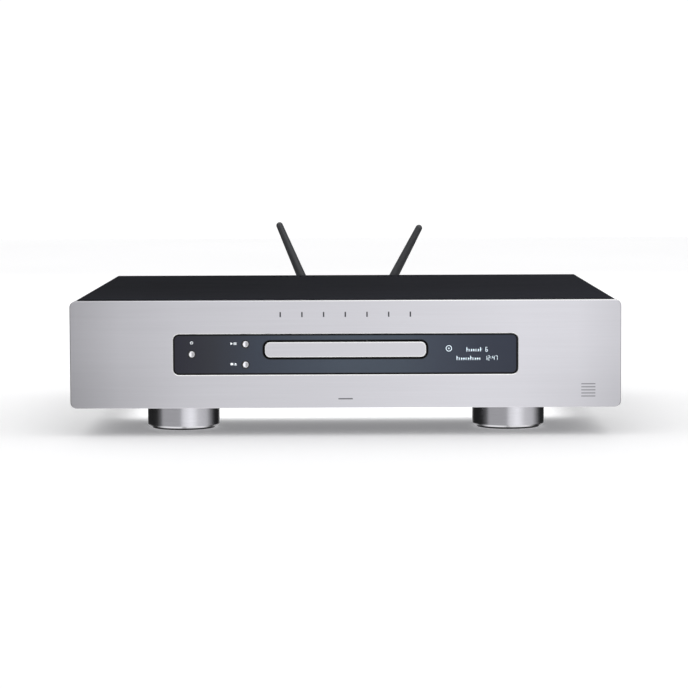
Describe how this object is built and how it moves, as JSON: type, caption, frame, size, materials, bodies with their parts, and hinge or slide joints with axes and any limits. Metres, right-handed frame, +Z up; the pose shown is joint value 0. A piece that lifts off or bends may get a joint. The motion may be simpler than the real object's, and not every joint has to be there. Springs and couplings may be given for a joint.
{
  "type": "cd player",
  "caption": "Full-width disc player with a brushed fascia, smoked window, front-loading tray, turned feet and two folding aerials at the back.",
  "frame": {"origin": "middle of the footprint at the shelf the feet stand on", "axes": "+X to the right seen from the front, +Y to the back, +Z up"},
  "size_m": [0.43, 0.3966, 0.1551],
  "materials": {
    "front_panel": "brushed along its length",
    "display_window": "polished smoked acrylic",
    "front_subframe": "black",
    "chassis_base": "black powder coat",
    "rear_panel": "black powder coat",
    "top_cover": "fine black powder coat",
    "cover_screws": "black oxide",
    "chassis_screws": "zinc plated",
    "feet": "turned, satin",
    "foot_pads": "matt",
    "display_module": "dark glass",
    "front_boards": "solder mask",
    "standoffs": "plated",
    "standby_button": "turned",
    "play_button": "turned",
    "stop_button": "turned",
    "tray_front": "satin",
    "disc_tray": "moulded",
    "loader_frame": "moulded",
    "loading_motor": "plated can",
    "motor_pulley": "acetal",
    "pulley_gear": "acetal",
    "drive_gear": "acetal",
    "drive_belt": "matt",
    "cam_slider": "acetal",
    "tilt_frame": "moulded",
    "traverse_plate": "zinc plated",
    "damper_grommets": "matt",
    "guide_rods": "ground",
    "spindle_motor": "plated can",
    "turntable": "moulded",
    "clamper": "moulded",
    "clamp_bridge": "zinc plated",
    "pickup_sled": "moulded",
    "pickup_lens": "coated lens in its holder",
    "sled_motor": "plated can",
    "sled_pinion": "acetal",
    "sled_gear": "acetal",
    "main_board": "solder mask",
    "power_board": "solder mask",
    "board_parts": "moulded",
    "board_metalwork": "anodised",
    "filter_capacitors": "sleeved",
    "ribbon_cables": "flat cable",
    "transformer_coil": "varnished winding",
    "transformer_mount": "zinc plated",
    "iec_inlet": "moulded",
    "mains_switch": "moulded",
    "mains_rocker": "moulded",
    "xlr_sockets": "nickel and black",
    "rca_jacks": "gold plated",
    "optical_socket": "moulded",
    "usb_socket": "plated",
    "lan_socket": "plated",
    "trigger_jacks": "moulded",
    "antenna_sockets": "gold plated",
    "left_antenna_knuckle": "moulded",
    "right_antenna_knuckle": "moulded",
    "left_antenna": "moulded",
    "right_antenna": "moulded"
  },
  "bodies": {
    "chassis": {"front_panel": "front_panel", "display_window": "display_window", "front_subframe": "front_subframe", "chassis_base": "chassis_base", "rear_panel": "rear_panel", "top_cover": "top_cover", "cover_screws": "cover_screws", "chassis_screws": "chassis_screws", "feet": "feet", "foot_pads": "foot_pads", "display_module": "display_module", "front_boards": "front_boards", "standoffs": "standoffs", "loader_frame": "loader_frame", "loading_motor": "loading_motor", "drive_belt": "drive_belt", "clamp_bridge": "clamp_bridge", "main_board": "main_board", "power_board": "power_board", "board_parts": "board_parts", "board_metalwork": "board_metalwork", "filter_capacitors": "filter_capacitors", "ribbon_cables": "ribbon_cables", "transformer_coil": "transformer_coil", "transformer_mount": "transformer_mount", "iec_inlet": "iec_inlet", "mains_switch": "mains_switch", "xlr_sockets": "xlr_sockets", "rca_jacks": "rca_jacks", "optical_socket": "optical_socket", "usb_socket": "usb_socket", "lan_socket": "lan_socket", "trigger_jacks": "trigger_jacks", "antenna_sockets": "antenna_sockets"},
    "tray": {"disc_tray": "disc_tray", "tray_front": "tray_front"},
    "drive_gear": {"drive_gear": "drive_gear"},
    "pulley_gear": {"pulley_gear": "pulley_gear"},
    "motor_pulley": {"motor_pulley": "motor_pulley"},
    "cam_slider": {"cam_slider": "cam_slider"},
    "traverse": {"tilt_frame": "tilt_frame", "traverse_plate": "traverse_plate", "damper_grommets": "damper_grommets", "guide_rods": "guide_rods", "spindle_motor": "spindle_motor", "sled_motor": "sled_motor"},
    "turntable": {"turntable": "turntable"},
    "clamper": {"clamper": "clamper"},
    "pickup": {"pickup_sled": "pickup_sled", "pickup_lens": "pickup_lens"},
    "sled_gear": {"sled_gear": "sled_gear"},
    "sled_pinion": {"sled_pinion": "sled_pinion"},
    "standby_button": {"standby_button": "standby_button"},
    "play_button": {"play_button": "play_button"},
    "stop_button": {"stop_button": "stop_button"},
    "mains_rocker": {"mains_rocker": "mains_rocker"},
    "left_knuckle": {"left_antenna_knuckle": "left_antenna_knuckle"},
    "left_antenna": {"left_antenna": "left_antenna"},
    "right_knuckle": {"right_antenna_knuckle": "right_antenna_knuckle"},
    "right_antenna": {"right_antenna": "right_antenna"}
  },
  "joints": [
    {"name": "tray_slide", "type": "slide", "parent": "chassis", "child": "tray", "axis": [0, -1, 0], "range_m": [0, 0.132]},
    {"name": "drive_gear_spin", "type": "hinge", "parent": "chassis", "child": "drive_gear", "pos_m": [0.038, -0.1643, 0.055], "axis": [0, 0, 1], "range_deg": [-631, 0]},
    {"name": "pulley_gear_spin", "type": "hinge", "parent": "chassis", "child": "pulley_gear", "pos_m": [0.0188, -0.1643, 0.055], "axis": [0, 0, 1], "range_deg": [0, 1892]},
    {"name": "motor_pulley_spin", "type": "hinge", "parent": "chassis", "child": "motor_pulley", "pos_m": [-0.022, -0.1643, 0.053], "axis": [0, 0, 1], "range_deg": [0, 7130]},
    {"name": "cam_slide", "type": "slide", "parent": "chassis", "child": "cam_slider", "axis": [1, 0, 0], "range_m": [0, 0.02]},
    {"name": "traverse_tilt", "type": "hinge", "parent": "chassis", "child": "traverse", "pos_m": [0, -0.0283, 0.04975], "axis": [1, 0, 0], "range_deg": [0, 4.41]},
    {"name": "turntable_spin", "type": "hinge", "parent": "traverse", "child": "turntable", "pos_m": [0, -0.1283, 0.064], "axis": [0, 0, 1], "continuous": true},
    {"name": "clamper_spin", "type": "hinge", "parent": "chassis", "child": "clamper", "pos_m": [0, -0.1283, 0.07], "axis": [0, 0, 1], "continuous": true},
    {"name": "pickup_slide", "type": "slide", "parent": "traverse", "child": "pickup", "axis": [0, 1, 0], "range_m": [0, 0.034]},
    {"name": "sled_gear_spin", "type": "hinge", "parent": "traverse", "child": "sled_gear", "pos_m": [0.0308, -0.0743, 0.054], "axis": [0, 0, 1], "range_deg": [-406.5, 0]},
    {"name": "sled_pinion_spin", "type": "hinge", "parent": "traverse", "child": "sled_pinion", "pos_m": [0.03705, -0.06348, 0.054], "axis": [0, 0, 1], "range_deg": [0, 1625]},
    {"name": "standby_press", "type": "slide", "parent": "chassis", "child": "standby_button", "axis": [0, 1, 0], "range_m": [0, 0.0005], "stiffness_N_per_m": 600},
    {"name": "play_press", "type": "slide", "parent": "chassis", "child": "play_button", "axis": [0, 1, 0], "range_m": [0, 0.0005], "stiffness_N_per_m": 600},
    {"name": "stop_press", "type": "slide", "parent": "chassis", "child": "stop_button", "axis": [0, 1, 0], "range_m": [0, 0.0005], "stiffness_N_per_m": 600},
    {"name": "mains_rock", "type": "hinge", "parent": "chassis", "child": "mains_rocker", "pos_m": [-0.124, 0.1717, 0.05], "axis": [1, 0, 0], "range_deg": [-8, 8]},
    {"name": "left_antenna_swivel", "type": "hinge", "parent": "chassis", "child": "left_knuckle", "pos_m": [-0.03, 0.1937, 0.078], "axis": [0, 1, 0], "range_deg": [-67, 33]},
    {"name": "left_antenna_fold", "type": "hinge", "parent": "left_knuckle", "child": "left_antenna", "pos_m": [-0.03, 0.1937, 0.078], "axis": [0.9205, 0, 0.3907], "range_deg": [-90, 0]},
    {"name": "right_antenna_swivel", "type": "hinge", "parent": "chassis", "child": "right_knuckle", "pos_m": [0.03, 0.1937, 0.078], "axis": [0, 1, 0], "range_deg": [-37.8, 62.2]},
    {"name": "right_antenna_fold", "type": "hinge", "parent": "right_knuckle", "child": "right_antenna", "pos_m": [0.03, 0.1937, 0.078], "axis": [0.8846, 0, -0.4664], "range_deg": [-90, 0]}
  ],
  "couplings": [
    {"joint": "drive_gear_spin", "follows": "tray_slide", "rad_per_m": -83.333},
    {"joint": "pulley_gear_spin", "follows": "tray_slide", "rad_per_m": 250},
    {"joint": "motor_pulley_spin", "follows": "tray_slide", "rad_per_m": 942.31},
    {"joint": "traverse_tilt", "follows": "cam_slide", "rad_per_m": 3.8401},
    {"joint": "sled_gear_spin", "follows": "pickup_slide", "rad_per_m": -208.33},
    {"joint": "sled_pinion_spin", "follows": "pickup_slide", "rad_per_m": 833.33}
  ]
}
